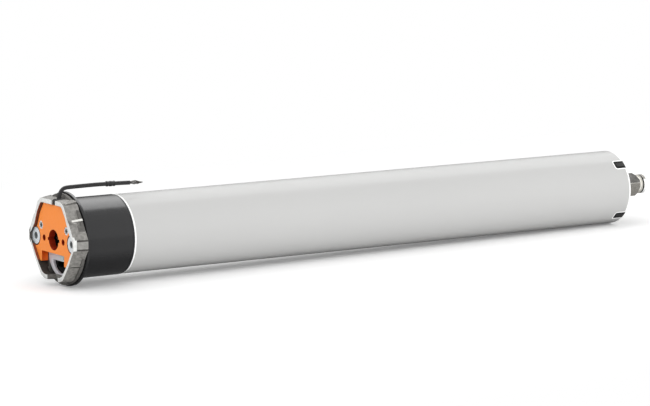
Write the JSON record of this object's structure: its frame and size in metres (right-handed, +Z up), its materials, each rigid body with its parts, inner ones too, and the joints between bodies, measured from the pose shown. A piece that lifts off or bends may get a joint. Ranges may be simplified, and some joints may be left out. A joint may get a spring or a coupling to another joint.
{
  "type": "tubular roller blind motor",
  "caption": "Tubular roller blind motor: faceted head with an orange plate and cable socket, turning crown, painted tube with brake and planetary gearbox, square output shaft.",
  "frame": {"origin": "on the motor's axis, at the mouth of the head's central bore, in the orange plate's front face", "axes": "+X along the axis from the head to the output shaft, +Z up on the head with the aerial on top, -Y the side that the aerial is nearer to"},
  "size_m": [0.5381, 0.0732, 0.0741],
  "materials": {
    "cast_grey": "satin cast",
    "orange_plate": "satin",
    "tube_paint": "satin light grey",
    "black_plastic": "satin",
    "black_frame": "matt",
    "zinc": "bright zinc",
    "bracket_metal": "satin",
    "contact_metal": "bright",
    "black_rubber": "matt",
    "black_sleeve": "satin",
    "strands": "dull",
    "white_plastic": "satin",
    "magnet": "matt",
    "tray_grey": "matt",
    "board_green": "satin",
    "relay_blue": "gloss",
    "radio_can": "bright",
    "chip_black": "matt",
    "terminal_green": "satin",
    "lead_brown": "satin",
    "lead_grey": "satin",
    "capacitor_white": "gloss",
    "shield_alloy": "as cast",
    "bronze": "satin",
    "lamination": "bare steel",
    "copper": "enamelled",
    "rotor_steel": "ground",
    "spring_steel": "bright",
    "brake_steel": "bare steel",
    "friction": "matt",
    "gear_steel": "machined",
    "gear_nylon": "satin",
    "sun_brass": "machined",
    "carrier_steel": "machined",
    "shaft_steel": "dull sintered"
  },
  "bodies": {
    "housing": {"head_casting": "cast_grey", "head_plate": "orange_plate", "plate_screws": "zinc", "lug_screws": "zinc", "neck_screws": "zinc", "connector_bracket": "bracket_metal", "connector_socket": "black_frame", "connector_pins": "contact_metal", "plug_clip": "zinc", "antenna_grommet": "black_rubber", "antenna_wire": "black_rubber", "antenna_sleeve": "black_sleeve", "antenna_tip": "strands", "neck_housing": "black_frame", "motor_tube": "tube_paint", "electronics_tray": "tray_grey", "circuit_board": "board_green", "board_relays": "relay_blue", "radio_module": "radio_can", "hall_sensor": "chip_black", "terminal_blocks": "terminal_green", "supply_leads": "lead_brown", "motor_leads": "lead_grey", "run_capacitor": "capacitor_white", "capacitor_cradle": "tray_grey", "front_end_shield": "shield_alloy", "rear_end_shield": "shield_alloy", "shaft_bushes": "bronze", "stator_core": "lamination", "stator_windings": "copper", "brake_magnet": "brake_steel", "brake_coil": "copper", "brake_spring": "spring_steel", "gearbox_front_plate": "carrier_steel", "gearbox_ring_gear": "gear_steel", "output_bush": "bronze", "output_flange": "black_plastic"},
    "crown": {"drive_crown": "black_plastic"},
    "position_sensor": {"sensor_pinion": "white_plastic", "sensor_magnet": "magnet"},
    "rotor": {"rotor_core": "rotor_steel", "rotor_shaft": "gear_steel", "friction_disc": "friction", "sun_gear_1": "sun_brass"},
    "armature": {"brake_armature": "brake_steel"},
    "stage_1": {"carrier_1": "carrier_steel"},
    "stage_2": {"carrier_2": "carrier_steel"},
    "output": {"output_carrier": "carrier_steel", "output_shaft": "shaft_steel"},
    "wheel_1a": {"planet_1a": "gear_nylon"},
    "wheel_1b": {"planet_1b": "gear_nylon"},
    "wheel_1c": {"planet_1c": "gear_nylon"},
    "wheel_2a": {"planet_2a": "gear_steel"},
    "wheel_2b": {"planet_2b": "gear_steel"},
    "wheel_2c": {"planet_2c": "gear_steel"},
    "wheel_3a": {"planet_3a": "gear_steel"},
    "wheel_3b": {"planet_3b": "gear_steel"},
    "wheel_3c": {"planet_3c": "gear_steel"}
  },
  "joints": [
    {"name": "rotor_spin", "type": "hinge", "parent": "housing", "child": "rotor", "pos_m": [0.3, 0, 0], "axis": [1, 0, 0], "continuous": true},
    {"name": "carrier_1_spin", "type": "hinge", "parent": "housing", "child": "stage_1", "pos_m": [0.42, 0, 0], "axis": [1, 0, 0], "continuous": true},
    {"name": "carrier_2_spin", "type": "hinge", "parent": "housing", "child": "stage_2", "pos_m": [0.44, 0, 0], "axis": [1, 0, 0], "continuous": true},
    {"name": "output_spin", "type": "hinge", "parent": "housing", "child": "output", "pos_m": [0.48, 0, 0], "axis": [1, 0, 0], "continuous": true},
    {"name": "planet_1a_spin", "type": "hinge", "parent": "stage_1", "child": "wheel_1a", "pos_m": [0.4, 0.01485, 0], "axis": [1, 0, 0], "continuous": true},
    {"name": "planet_1b_spin", "type": "hinge", "parent": "stage_1", "child": "wheel_1b", "pos_m": [0.4, -0.00743, 0.01286], "axis": [1, 0, 0], "continuous": true},
    {"name": "planet_1c_spin", "type": "hinge", "parent": "stage_1", "child": "wheel_1c", "pos_m": [0.4, -0.00743, -0.01286], "axis": [1, 0, 0], "continuous": true},
    {"name": "planet_2a_spin", "type": "hinge", "parent": "stage_2", "child": "wheel_2a", "pos_m": [0.425, 0.01485, 0], "axis": [1, 0, 0], "continuous": true},
    {"name": "planet_2b_spin", "type": "hinge", "parent": "stage_2", "child": "wheel_2b", "pos_m": [0.425, -0.00743, 0.01286], "axis": [1, 0, 0], "continuous": true},
    {"name": "planet_2c_spin", "type": "hinge", "parent": "stage_2", "child": "wheel_2c", "pos_m": [0.425, -0.00743, -0.01286], "axis": [1, 0, 0], "continuous": true},
    {"name": "planet_3a_spin", "type": "hinge", "parent": "output", "child": "wheel_3a", "pos_m": [0.45, 0.01485, 0], "axis": [1, 0, 0], "continuous": true},
    {"name": "planet_3b_spin", "type": "hinge", "parent": "output", "child": "wheel_3b", "pos_m": [0.45, -0.00743, 0.01286], "axis": [1, 0, 0], "continuous": true},
    {"name": "planet_3c_spin", "type": "hinge", "parent": "output", "child": "wheel_3c", "pos_m": [0.45, -0.00743, -0.01286], "axis": [1, 0, 0], "continuous": true},
    {"name": "crown_spin", "type": "hinge", "parent": "housing", "child": "crown", "pos_m": [0.03, 0, 0], "axis": [1, 0, 0], "continuous": true},
    {"name": "sensor_spin", "type": "hinge", "parent": "housing", "child": "position_sensor", "pos_m": [0.03, 0.0108, 0.01871], "axis": [1, 0, 0], "continuous": true},
    {"name": "brake_release", "type": "slide", "parent": "housing", "child": "armature", "axis": [-1, 0, 0], "range_m": [0, 0.0004], "stiffness_N_per_m": 2000, "springref_m": -0.003}
  ],
  "couplings": [
    {"joint": "carrier_1_spin", "follows": "rotor_spin", "ratio": 0.18182},
    {"joint": "carrier_2_spin", "follows": "rotor_spin", "ratio": 0.033058},
    {"joint": "output_spin", "follows": "rotor_spin", "ratio": 0.0060105},
    {"joint": "planet_1a_spin", "follows": "rotor_spin", "ratio": -0.46753},
    {"joint": "planet_1b_spin", "follows": "rotor_spin", "ratio": -0.46753},
    {"joint": "planet_1c_spin", "follows": "rotor_spin", "ratio": -0.46753},
    {"joint": "planet_2a_spin", "follows": "rotor_spin", "ratio": -0.085006},
    {"joint": "planet_2b_spin", "follows": "rotor_spin", "ratio": -0.085006},
    {"joint": "planet_2c_spin", "follows": "rotor_spin", "ratio": -0.085006},
    {"joint": "planet_3a_spin", "follows": "rotor_spin", "ratio": -0.015456},
    {"joint": "planet_3b_spin", "follows": "rotor_spin", "ratio": -0.015456},
    {"joint": "planet_3c_spin", "follows": "rotor_spin", "ratio": -0.015456},
    {"joint": "sensor_spin", "follows": "crown_spin", "ratio": 5.5}
  ]
}
